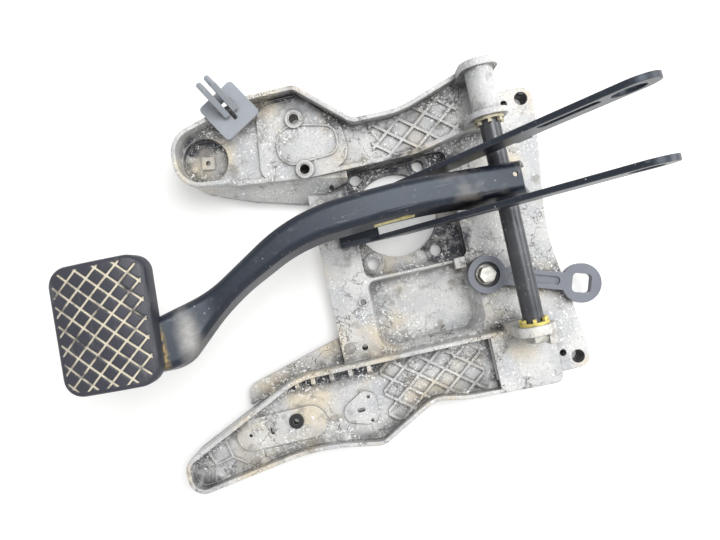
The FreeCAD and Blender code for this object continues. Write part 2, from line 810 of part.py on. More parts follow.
def hub_tube():
    """Tube welded through the arm."""
    low = lower_ear_face + bush_flange_t + end_play
    high = upper_ear_face - bush_flange_t - end_play
    return pivot_rod(tube_r, low, high).cut(pivot_rod(tube_r - tube_wall, low - OVER, high + OVER))


def pad_outline(inset, z_low, z_high):
    """Upright prism of the pad's outline, moved in by inset."""
    half_w = pad_w / 2
    half_h = pad_h / 2
    corners = [
        (pad_x - half_w, pad_y - half_h, pad_corner_r),
        (pad_x + half_w, pad_y - half_h, pad_corner_r),
        (pad_x + half_w, pad_y + half_h, pad_corner_r),
        (pad_x - half_w, pad_y + half_h - pad_cut, pad_corner_r),
    ]
    prism = slab(corners, z_low, z_high, inset)
    prism.rotate(Vector(pad_x, pad_y, 0), ALONG_Z, pad_turn)
    return prism


def pad_layer(inset, low_r, high_r):
    """Crowned layer of the pad between two radii about the crown axis."""
    prism = pad_outline(inset, crown_z - crown_r / 2, crown_z + crown_r / 2)
    return prism.common(crown_rod(high_r)).cut(crown_rod(low_r))


def pad_plate():
    """Steel foot plate, pressed to the crown."""
    return pad_layer(plate_inset, crown_r, crown_r + plate_t)


def pedal_pad():
    """Rubber cover: grooved face, side walls and a lip that grips the plate from behind."""
    seat_low = crown_r - rubber_fit
    seat_high = crown_r + plate_t + rubber_fit
    face_r = seat_high + rubber_t
    cover = pad_layer(0, seat_low - lip_t, face_r)
    rim = [edge for edge in cover.Edges if on_crown(edge, face_r)]
    cover = cover.makeFillet(pad_rim_r, rim)
    seat = pad_layer(plate_inset - rubber_fit, seat_low, seat_high)
    mouth = pad_layer(plate_inset + lip_w, seat_low - lip_t - OVER, seat_high)
    arm_way = arm_prism(-arm_gap).common(crown_rod(crown_r))
    grooves = pad_grooves(face_r)
    return cover.cut([seat, mouth, arm_way, grooves])


def on_crown(edge, radius):
    """Whether an edge lies on the crown of a radius."""
    for place in (edge.FirstParameter, edge.LastParameter):
        point = edge.valueAt(place)
        if abs(math.hypot(point.x - crown_x, point.z - crown_z + crown_r) - radius) > 1e-3:
            return False
    return True


def pad_grooves(face_r):
    """Crossing grooves in the pad's face, which stop short of its edge."""
    reach = pad_w + pad_h
    count = int(reach / groove_pitch / 2)
    bars = []
    for turn in (45, -45):
        for k in range(-count, count + 1):
            bar = box(-reach / 2, reach / 2, -groove_w / 2, groove_w / 2, 0, 2 * crown_z)
            bar.translate(ALONG_Y * (k * groove_pitch))
            bar.rotate(Vector(), ALONG_Z, turn + pad_turn)
            bar.translate(Vector(pad_x, pad_y, 0))
            bars.append(bar)
    field = pad_layer(groove_margin, face_r - groove_depth, face_r + OVER)
    return field.common(fuse(bars))


# Pivot pieces

def bush(face_y, inward):
    """Plastic bush: a toothed flange against an ear and a spigot inside the tube."""
    spigot_r = tube_r - tube_wall - running_fit
    bore_r = pivot_bolt_r + running_fit
    flange = Part.makeCylinder(bush_flange_r, bush_flange_t)
    spigot = Part.makeCylinder(spigot_r, bush_flange_t + bush_spigot_len)
    body = [flange, spigot]
    tooth_r = tube_r + bush_tooth_gap
    for k in range(bush_tooth_count):
        tooth = box(tooth_r, bush_flange_r - bush_tooth_inset, -bush_tooth_w / 2, bush_tooth_w / 2, 0,
                    bush_flange_t + bush_tooth_h)
        tooth.rotate(Vector(), ALONG_Z, 360.0 * k / bush_tooth_count)
        body.append(tooth)
    solid = fuse(body).cut(Part.makeCylinder(bore_r, bush_flange_t + bush_spigot_len))
    solid.rotate(Vector(), ALONG_X, -90 * inward)
    solid.translate(Vector(pivot_x, face_y, pivot_z))
    return solid


def lower_bush():
    """Bush at the lower ear."""
    return bush(lower_ear_face, 1)


def upper_bush():
    """Bush at the upper ear."""
    return bush(upper_ear_face, -1)


def hex_bolt(flats, head_h, radius, grip):
    """Bolt on the origin: head above z = 0 and shank below."""
    shank = Part.makeCylinder(radius, grip, Vector(0, 0, -grip))
    return fuse([hexagon(flats, head_h), shank])


def pivot_bolt():
    """Long bolt from behind the lower ear into the boss of the upper ear."""
    seat_y = lower_ear_face - lower_ear_t
    length = ear_outer_face - ear_outer_t - seat_y - OVER
    bolt = hex_bolt(pivot_head_flats, pivot_head_h, pivot_bolt_r, length)
    bolt.rotate(Vector(), ALONG_X, 90)
    bolt.translate(Vector(pivot_x, seat_y, pivot_z))
    return bolt


# Support fork

def stay_profile():
    """Outline of a stay and its foot seen along Y, as (x, z, radius)."""
    rise = math.atan2(fork_eye_z - fork_axis_z, fork_eye_x)
    half_x = fork_width / 2 * math.sin(rise)
    half_z = fork_width / 2 * math.cos(rise)
    slope = math.tan(rise)
    flange_z = band_z + fork_sheet + fork_flange_h
    upper_x = -half_x + (flange_z - fork_axis_z - half_z) / slope
    lower_x = half_x + (band_z - fork_axis_z + half_z) / slope
    tip_x = fork_eye_r * math.cos(rise)
    tip_z = fork_eye_r * math.sin(rise)
    return [
        (fork_foot_x, band_z, 0.0),
        (lower_x, band_z, 4.0),
        (fork_eye_x + half_x + tip_x, fork_eye_z - half_z + tip_z, fork_width / 2 * ROUND),
        (fork_eye_x - half_x + tip_x, fork_eye_z + half_z + tip_z, fork_width / 2 * ROUND),
        (upper_x, flange_z, 12.0),
        (fork_foot_x, flange_z, 3.0),
    ]


def along_stay(distance, offset):
    """Point (x, z) of a stay at a distance back from its eye and an offset above its middle line."""
    rise = math.atan2(fork_eye_z - fork_axis_z, fork_eye_x)
    x = fork_eye_x - distance * math.cos(rise) - offset * math.sin(rise)
    z = fork_eye_z - distance * math.sin(rise) + offset * math.cos(rise)
    return (x, z)


def stay_patch(near, far, low, high, radius, y_low, y_high):
    """Block lying along a stay between two distances from the eye and two offsets."""
    places = [along_stay(far, low), along_stay(near, low), along_stay(near, high), along_stay(far, high)]
    return side_slab([(x, z, radius) for x, z in places], y_low, y_high)


def stay(middle_y):
    """One upright stay with its eye hole."""
    low = middle_y - fork_sheet / 2
    high = middle_y + fork_sheet / 2
    start = Vector(fork_eye_x, low - OVER, fork_eye_z)
    eye = Part.makeCylinder(fork_hole_r, fork_sheet + 2 * OVER, start, ALONG_Y)
    return side_slab(stay_profile(), low, high).cut(eye)


def splayed(shape):
    """Stay with its part past the foot turned outwards."""
    straight = shape.cut(box(0, FAR, -FAR, FAR, -FAR, FAR))
    turned = shape.common(box(-OVER, FAR, -FAR, FAR, -FAR, FAR))
    turned.rotate(Vector(0, fork_upper_y, 0), ALONG_Z, fork_splay)
    return fuse([straight, turned])


def support_fork():
    """Base on the cross band, folded up into two stays."""
    half = fork_sheet / 2
    upper = stay(fork_upper_y)
    tab = stay_patch(tab_near, tab_near + tab_len, -fork_width / 2 - tab_h, -fork_width / 2 + 2, 0.0,
                     fork_upper_y - half, fork_upper_y + half)
    window = stay_patch(window_near, window_near + window_len, window_low, window_low + window_h, 3.0,
                        fork_upper_y - fork_sheet, fork_upper_y + fork_sheet)
    upper = splayed(fuse([upper, tab]).cut(window))
    lower = stay(fork_lower_y)
    bead = stay_patch(bead_near, bead_near + bead_len, -bead_h / 2, bead_h / 2, bead_h / 2 * ROUND,
                      fork_lower_y - half - OVER, fork_lower_y - half + bead_depth)
    base = box(fork_foot_x, fork_base_end_x, fork_lower_y, fork_upper_y, band_z, band_z + fork_sheet)
    fork = fuse([upper, lower.cut(bead), base])
    holes = [post(fork_bolt_x, y, fork_bolt_r + bolt_clearance, 0, pivot_z) for y in fork_bolt_places()]
    return fork.cut(holes)


def fork_bolt_places():
    """Y of the two bolts that hold the fork."""
    return (fork_bolt_y - fork_bolt_spacing / 2, fork_bolt_y + fork_bolt_spacing / 2)


def fork_bolts():
    """Two bolts through the fork's base into the cross band."""
    bolts = []
    for y in fork_bolt_places():
        bolt = hex_bolt(fork_bolt_flats, fork_bolt_head_h, fork_bolt_r, fork_bolt_grip)
        bolt.translate(Vector(fork_bolt_x, y, band_z + fork_sheet + fork_washer_t))
        bolts.append(bolt)
    return Part.makeCompound(bolts)


def washer(x, y, z, radius, bore_r, thick):
    """Flat washer lying at a height."""
    return post(x, y, radius, z, z + thick).cut(post(x, y, bore_r, z - OVER, z + thick + OVER))


def fork_washers():
    """Washers under the heads of the fork's bolts."""
    return Part.makeCompound([
        washer(fork_bolt_x, y, band_z + fork_sheet, fork_washer_r, fork_bolt_r + bolt_clearance, fork_washer_t)
        for y in fork_bolt_places()])


# Link lever and the small pieces

def link_lever():
    """Forged link: round hub with a counterbore, channelled web and an eye with a square hole."""
    web_z = band_z + link_lift
    run = Vector(link_eye_x - link_hub_x, link_eye_y - link_hub_y, 0)
    turn = math.degrees(math.atan2(run.y, run.x))
    hub = post(link_hub_x, link_hub_y, link_hub_r, band_z, band_z + link_hub_h)
    eye = post(link_eye_x, link_eye_y, link_eye_r, web_z, web_z + link_t)
    web = box(0, run.Length, -link_web_w / 2, link_web_w / 2, web_z, web_z + link_t)
    start = link_hub_r + link_channel_end
    stop = run.Length - link_eye_r - link_channel_end
    corners = rectangle((start + stop) / 2, 0, stop - start, link_channel_w, link_channel_w / 2 * ROUND)
    channel = slab(corners, web_z + link_t - link_channel_depth, web_z + link_t + OVER)
    square = slab(rectangle(run.Length, 0, link_square, link_square, link_square_r), 0, pivot_z)
    for shape in (web, channel, square):
        shape.rotate(Vector(), ALONG_Z, turn)
        shape.translate(Vector(link_hub_x, link_hub_y, 0))
    counterbore = post(link_hub_x, link_hub_y, link_bore_r, band_z + link_floor, pivot_z)
    hole = post(link_hub_x, link_hub_y, link_bolt_r + bolt_clearance, 0, pivot_z)
    return fuse([hub, eye, web]).cut([channel, square, counterbore, hole])


def link_washer():
    """Washer in the link's counterbore."""
    return washer(link_hub_x, link_hub_y, band_z + link_floor, link_washer_r, link_bolt_r + bolt_clearance,
                  link_washer_t)


def link_bolt():
    """Bolt that holds the link on the plateau."""
    bolt = hex_bolt(link_bolt_flats, link_bolt_head_h, link_bolt_r, link_bolt_grip)
    bolt.translate(Vector(link_hub_x, link_hub_y, band_z + link_floor + link_washer_t))
    return bolt


def harness_clip():
    """Plastic clip: a square plate with a slot and two leaning prongs."""
    plate = slab(rectangle(0, 0, clip_side, clip_side, clip_corner_r), 0, clip_t)
    prongs = []
    for side in (-1, 1):
        half_w = clip_prong_t / 2
        tip_r = half_w * ROUND
        prong = slab([(-half_w, 0, 0.0), (half_w, 0, 0.0), (half_w, clip_prong_len, tip_r),
                      (-half_w, clip_prong_len, tip_r)], 0, clip_prong_w)
        prong.rotate(Vector(), ALONG_X, 90 - clip_prong_lean)
        prong.translate(Vector(side * (clip_slot_w + clip_prong_t) / 2, clip_prong_w / 2, 0))
        prongs.append(prong.cut(box(-clip_side, clip_side, -clip_side, clip_side, -clip_side, 0)))
    opening = slab(rectangle(0, 0, clip_slot_w, clip_slot_len), -OVER, clip_t + OVER)
    clip = fuse([plate] + prongs).cut(opening)
    clip.rotate(Vector(), ALONG_Z, clip_turn)
    clip.translate(Vector(clip_x, clip_y, upper_rim_z))
    return clip


def leg_grommet():
    """Rubber grommet in the tray of the lower leg."""
    seat_z = lower_floor_z + pad_raise
    neck = post(grommet_x, grommet_y, grommet_hole_r - seat_fit, lower_floor_z - leg_skin, seat_z)
    flange = post(grommet_x, grommet_y, grommet_flange_r, seat_z, seat_z + grommet_flange_t)
    flange = rounded_rim(flange, seat_z + grommet_flange_t, grommet_flange_t / 2)
    return fuse([neck, flange]).cut(post(grommet_x, grommet_y, grommet_bore_r, 0, lower_rim_z))


def boss_inserts():
    """Steel sleeves in the two bosses of the upper leg."""
    low = upper_floor_z - boss_depth
    high = upper_floor_z + kidney_h + boss_h
    sleeves = []
    for y in boss_places():
        sleeve = post(boss_x, y, insert_r, low, high)
        sleeves.append(sleeve.cut(post(boss_x, y, insert_r - insert_wall, 0, upper_rim_z)))
    return Part.makeCompound(sleeves)


def locating_dowel():
    """Short dowel in the cross band."""
    low = band_z - dowel_len + dowel_proud
    return post(dowel_x, dowel_y, dowel_r, low, band_z + dowel_proud)


PIECES = [bracket, pedal_arm, hub_tube, pad_plate, pedal_pad, lower_bush, upper_bush, pivot_bolt,
          support_fork, fork_bolts, fork_washers, link_lever, link_washer, link_bolt,
          harness_clip, leg_grommet, boss_inserts, locating_dowel]


def main():
    os.makedirs("parts", exist_ok=True)
    for make in PIECES:
        shape = make()
        shape.exportStep("parts/" + make.__name__ + ".step")
        print(make.__name__, len(shape.Solids), "solid", round(shape.Volume), "mm3", shape.isValid())


main()
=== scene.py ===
"""Brake pedal on its die-cast bracket, lying on its back, seen from straight above."""
import math

import bpy
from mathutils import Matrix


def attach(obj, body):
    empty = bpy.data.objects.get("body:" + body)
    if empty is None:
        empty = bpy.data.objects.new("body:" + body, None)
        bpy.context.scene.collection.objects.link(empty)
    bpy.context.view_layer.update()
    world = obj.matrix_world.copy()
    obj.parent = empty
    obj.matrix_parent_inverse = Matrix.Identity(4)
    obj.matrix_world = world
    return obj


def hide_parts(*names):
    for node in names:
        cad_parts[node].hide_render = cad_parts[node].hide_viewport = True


MM = 0.001

# Camera of the photograph
CAMERA_PLACE = (-0.0358, -0.0351, 0.437)
CAMERA_TURN = -12.6              # degrees about Z
CAMERA_LENS = 28.0
CAMERA_SENSOR = 36.0

# Light
LAMPS = [                        # name, size, place, power
    ("softbox", 0.62, (0.34, 0.21, 1.20), 10.0),
    ("window", 0.50, (0.95, 0.05, 0.50), 4.0),
]
SKY_TOP = 0.62
SKY_SIDE = 0.50
SKY_SEEN = 1.0                   # as the camera and reflections see it
SKY_COLOUR = (1.0, 1.0, 1.0, 1.0)
FLOOR_SIZE = 6.0
FLOOR_DROP = 0.0002              # below the part's lowest face, so that the two don't flicker
FLOOR_COLOUR = (0.86, 0.86, 0.85, 1.0)
FLOOR_GLOW = 0.24

# Rubber pad, in millimetres, as the solid that it stands for
CROWN_R = 119.0
CROWN_X = -198.0
CROWN_Z = 113.0
PLATE_T = 3.0
RUBBER_FIT = 0.15
RUBBER_T = 6.0
LIP_T = 2.5
LIP_REACH = 8.0                  # from the outline to the lip's inner edge
SEAT_INSET = 2.85                # from the outline to the hollow that holds the plate
SEAT_RINGS = 4                   # rings of faces on the hollow's ceiling
SHARP_ANGLE = 75.0               # degrees
PAD_X = -185.0
PAD_Y = -33.8
PAD_W = 53.7
PAD_H = 77.0
PAD_CORNER_R = 11.0
PAD_CUT = 3.0
PAD_RIM_R = 2.5
PAD_TURN = -3.4                  # degrees about Z
GROOVE_W = 1.0
GROOVE_DEPTH = 1.3
GROOVE_PITCH = 7.75
GROOVE_SHIFT = (0.78, 0.69)      # of the two sets of grooves, from the pad's centre
GROOVE_MARGIN = 2.6
GROOVE_SLOPE = 0.25              # how far a groove's sloping side reaches past its width
GROOVE_STEEP = 1.8               # how soon the slope is at the groove's full depth
GROOVE_FADE = 0.6                # way over which a groove runs out at the margin
PAD_STEP = 0.5                   # size of a mesh cell
ARM_WAY = (-72.5, -38.0)         # the arm's sides where it goes under the pad

# A place on the tube's axis, which runs along Y, in metres
PIVOT = (0.071, 0.0, 0.060)

# Marks, a painted highlight and a painted sheen on the arm, in metres
ARM_SIDE_Y = (-0.004, -0.006)    # where the arm's side with the paint stripe begins
PAINT_X = (-0.0205, 0.0065)
PAINT_Z = (0.0695, 0.0772)
# Painted highlight across the arm's bend, as (centre, reach); the bend is also made rougher there
BEND_HIGHLIGHT = ((-0.1450, -0.0515, 0.098), (0.0100, 0.0260, 0.040))
RUST_X = (-0.1650, -0.1578)
RUST_Y = (-0.066, -0.044)
# Way along X of a paler band of dust and painted sheen on the arm near the pivot
DUST_AND_SHEEN_X = (0.030, 0.085)

# Way across the pad over which the dirt in its grooves grows to its full strength, in metres
DIRT_X = (-0.214, -0.192)

# Dark blue-grey patches on the casting, as (centre, reach) in metres: in the open, and painted shade
# inside the trays
DARK_PATCHES = [
    ((0.008, 0.030, 0.016), (0.054, 0.018, 0.032)),
    ((0.034, -0.030, 0.010), (0.022, 0.020, 0.016)),
]
# Painted shade on the trays' inner walls that face away from the lamps, strongest where their corners are
# dark
TRAY_SHADE = [
    ((-0.062, 0.101, 0.024), (0.042, 0.012, 0.022)),
    ((-0.028, 0.083, 0.024), (0.020, 0.026, 0.022)),
    ((-0.129, 0.080, 0.022), (0.028, 0.012, 0.018)),
    ((-0.068, -0.110, 0.018), (0.048, 0.010, 0.014)),
]

# Shader settings shared by the finishes
COAT_TINT = (0.82, 0.91, 1.0, 1.0)
CORNER_SAMPLES = 6
CORNER_LIGHT = (0.95, 0.42)      # light that reaches an open face and a deep corner
EDGE_SAMPLES = 4
EDGE_TURN = (0.98, 0.80)         # agreement of rounded and flat normal, off an edge and on it
CRACK_WANDER = 0.012             # how far cracks stray from straight lines
PATCH_GRAIN = 110                # of a patch's ragged border, in blotches per metre
SQUARE_TO_Y = (1.0, 0.0, 1.0)    # leaves out a vector's share along Y

# Input sockets of the mix node for each kind of value
MIX_NUMBERS = (2, 3)
MIX_VECTORS = (4, 5)
MIX_COLOURS = (6, 7)


class Finish:
    """One node material on a Principled shader, patterned in the object's own coordinates."""

    def __init__(self, name):
        self.material = bpy.data.materials.new(name)
        self.material.use_nodes = True
        self.tree = self.material.node_tree
        self.shader = self.tree.nodes["Principled BSDF"]
        self.place = self.node("ShaderNodeTexCoord").outputs["Object"]
        self.sides = self.node("ShaderNodeSeparateXYZ", {"Vector": self.place}).outputs

    def node(self, kind, sockets=None, **settings):
        """A new node with its settings, and a value or a link on each socket named."""
        made = self.tree.nodes.new(kind)
        for key, value in settings.items():
            setattr(made, key, value)
        for key, value in (sockets or {}).items():
            self.feed(made.inputs[key], value)
        return made

    def feed(self, socket, value):
        """Links a socket to another node's output, or sets its value."""
        if isinstance(value, bpy.types.NodeSocket):
            self.tree.links.new(value, socket)
        else:
            socket.default_value = value

    def set(self, **values):
        """Values or links on the shader's own sockets; an underscore stands for a space."""
        for key, value in values.items():
            self.feed(self.shader.inputs[key.replace("_", " ")], value)

    def noise(self, scale, detail=3.0, stretch=(1, 1, 1), shift=0.0):
        """Noise from 0 to 1, with scale in blotches per metre."""
        place = self.node("ShaderNodeMapping", {"Vector": self.place, "Scale": stretch,
                                                "Location": (shift, shift, shift)})
        return self.node("ShaderNodeTexNoise", {"Vector": place.outputs["Vector"], "Scale": scale,
                                                "Detail": detail}).outputs["Fac"]

    def spots(self, scale, size):
        """1 inside scattered round spots, with size as a part of their spacing."""
        cells = self.node("ShaderNodeTexVoronoi", {"Vector": self.place, "Scale": scale})
        return self.level(cells.outputs["Distance"], size, size * 0.5)

    def flakes(self, scale, cover, shift=0.0):
        """1 inside small ragged flakes; a higher cover leaves fewer of them."""
        return self.level(self.noise(scale, 5, shift=shift), cover, cover + 0.05)

    def curls(self, scale, shift):
        """1 along short curly lines."""
        offset = self.calc("SUBTRACT", self.noise(scale, 2, shift=shift), 0.5)
        away = self.node("ShaderNodeMath", {0: offset}, operation="ABSOLUTE").outputs[0]
        broken = self.level(self.noise(1.6 * scale, 2, shift=shift + 1.0), 0.54, 0.60)
        return self.times(self.level(away, 0.034, 0.016), broken)

    def cracks(self, scale, width):
        """1 along the ragged borders of large cells."""
        wander = self.node("ShaderNodeTexNoise", {"Vector": self.place, "Scale": 3 * scale})
        straight, bent = MIX_VECTORS
        sockets = {"Factor": CRACK_WANDER, straight: self.place, bent: wander.outputs["Color"]}
        moved = self.node("ShaderNodeMix", sockets, data_type="VECTOR").outputs[1]
        cells = self.node("ShaderNodeTexVoronoi", {"Vector": moved, "Scale": scale},
                          feature="DISTANCE_TO_EDGE")
        return self.level(cells.outputs["Distance"], width, width * 0.3)

    def patch(self, centre, reach, ragged=1.0, fade=0.72):
        """1 near a place, fading out between a share of its reach along each axis and all of it."""
        away = self.vectors("SUBTRACT", self.place, centre)["Vector"]
        share = self.vectors("DIVIDE", away, reach)["Vector"]
        length = self.vectors("LENGTH", share)["Value"]
        rough = self.times(self.calc("SUBTRACT", self.noise(PATCH_GRAIN, 6), 0.5), ragged)
        return self.level(self.calc("ADD", length, rough), 1.0, fade)

    def level(self, value, low, high):
        """0 where value is at low, 1 where it is at high, smooth between."""
        return self.node("ShaderNodeMapRange", {"Value": value, "From Min": low, "From Max": high},
                         interpolation_type="SMOOTHSTEP").outputs["Result"]

    def between(self, value, limits, soft):
        """1 between two limits, with soft ends."""
        low, high = limits
        rise = self.level(value, low - soft, low + soft)
        fall = self.level(value, high + soft, high - soft)
        return self.times(rise, fall)

    def calc(self, operation, first, second):
        """One sum on two numbers."""
        return self.node("ShaderNodeMath", {0: first, 1: second}, operation=operation).outputs[0]

    def vectors(self, operation, *values):
        """One sum on vectors, as its outputs Vector and Value."""
        return self.node("ShaderNodeVectorMath", dict(enumerate(values)), operation=operation).outputs

    def times(self, first, second):
        """Product of two masks."""
        return self.calc("MULTIPLY", first, second)

    def mix(self, share, first, second):
        """First colour at share 0, second at share 1."""
        made = self.node("ShaderNodeMix", {"Factor": share}, data_type="RGBA")
        for index, colour in zip(MIX_COLOURS, (first, second)):
            self.feed(made.inputs[index], colour)
        return made.outputs[2]

    def blend(self, share, first, second):
        """First number at share 0, second at share 1."""
        low, high = MIX_NUMBERS
        return self.node("ShaderNodeMix", {"Factor": share, low: first, high: second}).outputs[0]

    def hollow(self, reach):
        """1 deep in a corner, 0 in the open."""
        shade = self.node("ShaderNodeAmbientOcclusion", {"Distance": reach}, samples=CORNER_SAMPLES)
        return self.level(shade.outputs["AO"], *CORNER_LIGHT)

    def soft_edge(self, radius):
        """Normal with every edge rounded."""
        return self.node("ShaderNodeBevel", {"Radius": radius}, samples=EDGE_SAMPLES).outputs["Normal"]

    def round_normal(self, axis_place):
        """Normal of a round bar that runs along Y through a place."""
        away = self.vectors("SUBTRACT", self.place, axis_place)["Vector"]
        flat = self.vectors("MULTIPLY", away, SQUARE_TO_Y)["Vector"]
        turned = self.node("ShaderNodeVectorTransform", {"Vector": flat}, vector_type="NORMAL",
                           convert_from="OBJECT", convert_to="WORLD").outputs["Vector"]
        return self.vectors("NORMALIZE", turned)["Vector"]

    def worn(self, radius):
        """1 along edges, where the rounded normal leaves the flat one."""
        flat = self.node("ShaderNodeNewGeometry").outputs["Normal"]
        turn = self.vectors("DOT_PRODUCT", self.soft_edge(radius), flat)["Value"]
        return self.level(turn, *EDGE_TURN)

    def bump(self, height, depth, strength=1.0, normal=None):
        """Normal roughened by a height from 0 to 1, with depth in metres."""
        sockets = {"Height": height, "Distance": depth, "Strength": strength}
        if normal is not None:
            sockets["Normal"] = normal
        return self.node("ShaderNodeBump", sockets).outputs["Normal"]


def rgb(red, green, blue):
    """Linear colour from the 0 to 255 values seen on a screen."""
    channels = []
    for value in (red, green, blue):
        share = value / 255
        channels.append(share / 12.92 if share <= 0.04045 else ((share + 0.055) / 1.055) ** 2.4)
    return (*channels, 1.0)


def casting():
    """Old die-cast aluminium: mottled grey, white flakes, tan dust, grime and painted shade in the
    corners, dark patches, and painted shade in the trays.
    """
    paint = Finish("casting")
    cloud = paint.noise(38, 5)
    colour = paint.mix(paint.level(cloud, 0.35, 0.66), rgb(190, 191, 193), rgb(217, 217, 215))
    dust = paint.level(paint.noise(24, 6, shift=3.0), 0.48, 0.68)
    colour = paint.mix(paint.times(dust, 0.70), colour, rgb(222, 206, 174))
    grain = paint.noise(620, 5)
    colour = paint.mix(paint.times(paint.level(grain, 0.52, 0.68), 0.36), colour, rgb(150, 149, 147))
    stain = paint.level(paint.noise(80, 7, shift=7.0), 0.55, 0.70)
    colour = paint.mix(paint.times(stain, 0.62), colour, rgb(128, 124, 116))
    crack = paint.times(paint.cracks(70, 0.035), paint.level(paint.noise(30, 2, shift=1.0), 0.48, 0.60))
    colour = paint.mix(paint.times(crack, 0.80), colour, rgb(84, 80, 74))
    # Grime and painted shade: darker in corners and creases found by ambient occlusion, broken up by noise
    corner = paint.hollow(0.016)
    grime_and_shade = paint.times(corner, paint.level(paint.noise(120, 6, shift=9.0), 0.24, 0.54))
    colour = paint.mix(paint.times(grime_and_shade, 0.92), colour, rgb(50, 50, 54))
    darkness = paint.blend(paint.level(paint.noise(170, 6, shift=11.0), 0.32, 0.58), 0.45, 0.95)
    shade_share = paint.times(darkness, paint.level(corner, 0.02, 0.22))
    # Dark patches in the open, and painted shade on the trays' walls, strongest in their corners
    for places, share in ((DARK_PATCHES, darkness), (TRAY_SHADE, shade_share)):
        for centre, reach in places:
            colour = paint.mix(paint.times(paint.patch(centre, reach), share), colour, rgb(36, 39, 50))
    crowd = paint.level(paint.noise(42, 3, shift=5.0), 0.40, 0.62)
    fine = paint.times(paint.flakes(540, 0.575, 2.0), crowd)
    coarse = paint.flakes(210, 0.66, 4.0)
    white = paint.calc("MAXIMUM", fine, coarse)
    curled = paint.times(paint.curls(300, 13.0), paint.blend(crowd, 0.35, 1.0))
    white = paint.calc("MAXIMUM", white, curled)
    colour = paint.mix(paint.times(white, 0.90), colour, rgb(249, 249, 248))
    colour = paint.mix(paint.times(paint.worn(0.0014), 0.55), colour, rgb(236, 234, 228))
    normal = paint.bump(grain, 0.00040, 0.8, paint.soft_edge(0.0012))
    normal = paint.bump(white, 0.00020, 0.7, normal)
    paint.set(Base_Color=colour, Metallic=0.12, Normal=normal)
    paint.set(Roughness=paint.blend(cloud, 0.50, 0.70))
    return paint.material


def black_coat(name, marks):
    """Satin black coat on pressed steel: fine scratches, dust specks and paler edges."""
    paint = Finish(name)
    cloud = paint.noise(30, 4)
    colour = paint.mix(cloud, rgb(17, 20, 30), rgb(34, 38, 50))
    dust = paint.level(paint.noise(260, 5, shift=2.0), 0.58, 0.78)
    colour = paint.mix(paint.times(dust, 0.22), colour, rgb(120, 120, 118))
    specks = paint.times(paint.spots(210, 0.12), paint.level(paint.noise(45, 2, shift=6.0), 0.48, 0.62))
    colour = paint.mix(paint.times(specks, 0.8), colour, rgb(190, 190, 186))
    lines = paint.level(paint.noise(420, 2, stretch=(0.05, 1.0, 1.0)), 0.66, 0.74)
    colour = paint.mix(paint.times(lines, 0.30), colour, rgb(128, 130, 134))
    edge = paint.worn(0.0013)
    colour = paint.mix(paint.times(edge, 0.35), colour, rgb(126, 128, 132))
    rough = paint.blend(cloud, 0.30, 0.44)
    if marks:
        colour, rough = arm_marks(paint, colour, rough)
    peel = paint.noise(900, 2)
    paint.set(Normal=paint.bump(peel, 0.00008, 0.6, paint.soft_edge(0.0009)))
    paint.set(Base_Color=colour, Roughness=rough)
    paint.set(Specular_IOR_Level=0.45, Specular_Tint=COAT_TINT)
    return paint.material


def arm_marks(paint, colour, rough):
    """Paint stripe on the arm's side, painted highlight across the bend, dust and painted sheen near the
    pivot, and rust and dirt at the pad's edge.
    """
    along, across, up = paint.sides
    side = paint.level(across, *ARM_SIDE_Y)
    stripe = paint.times(paint.between(along, PAINT_X, 0.0004), paint.between(up, PAINT_Z, 0.0004))
    stripe = paint.times(paint.times(stripe, side), paint.level(paint.noise(700, 3), 0.25, 0.45))
    colour = paint.mix(stripe, colour, rgb(248, 234, 168))
    streaks = paint.blend(paint.noise(700, 4, stretch=(0.12, 1.0, 1.0)), 0.45, 1.0)
    # Painted highlight across the bend, streaked along the arm
    painted_highlight = paint.times(paint.patch(*BEND_HIGHLIGHT, ragged=0.5, fade=0.0), streaks)
    colour = paint.mix(paint.times(painted_highlight, 0.85), colour, rgb(206, 203, 198))
    # Dust and painted sheen: a paler, blotchy band across the arm near the pivot
    blotches = paint.level(paint.noise(75, 6, shift=6.0), 0.46, 0.66)
    dust_and_sheen = paint.times(paint.between(along, DUST_AND_SHEEN_X, 0.012), blotches)
    colour = paint.mix(paint.times(dust_and_sheen, 0.34), colour, rgb(156, 150, 140))
    rust = paint.times(paint.between(along, RUST_X, 0.0016), paint.between(across, RUST_Y, 0.005))
    rust = paint.times(rust, paint.level(paint.noise(300, 4, shift=4.0), 0.30, 0.50))
    ochre = paint.mix(paint.noise(520, 3, shift=8.0), rgb(96, 66, 34), rgb(196, 174, 116))
    colour = paint.mix(rust, colour, ochre)
    rough = paint.blend(paint.calc("MAXIMUM", painted_highlight, rust), rough, 0.62)
    return colour, rough


def tube_coat():
    """Black tube with a satin shine, rubbed rings and dust. Its normal is that of a true cylinder."""
    paint = Finish("tube_coat")
    rings = paint.noise(120, 3, stretch=(0.2, 1.0, 0.2))
    colour = paint.mix(rings, rgb(52, 53, 56), rgb(88, 89, 92))
    dust = paint.level(paint.noise(420, 4, shift=2.0), 0.62, 0.75)
    colour = paint.mix(paint.times(dust, 0.45), colour, rgb(150, 149, 146))
    paint.set(Base_Color=colour, Metallic=0.7, Roughness=paint.blend(rings, 0.28, 0.40))
    paint.set(Normal=paint.round_normal(PIVOT))
    return paint.material


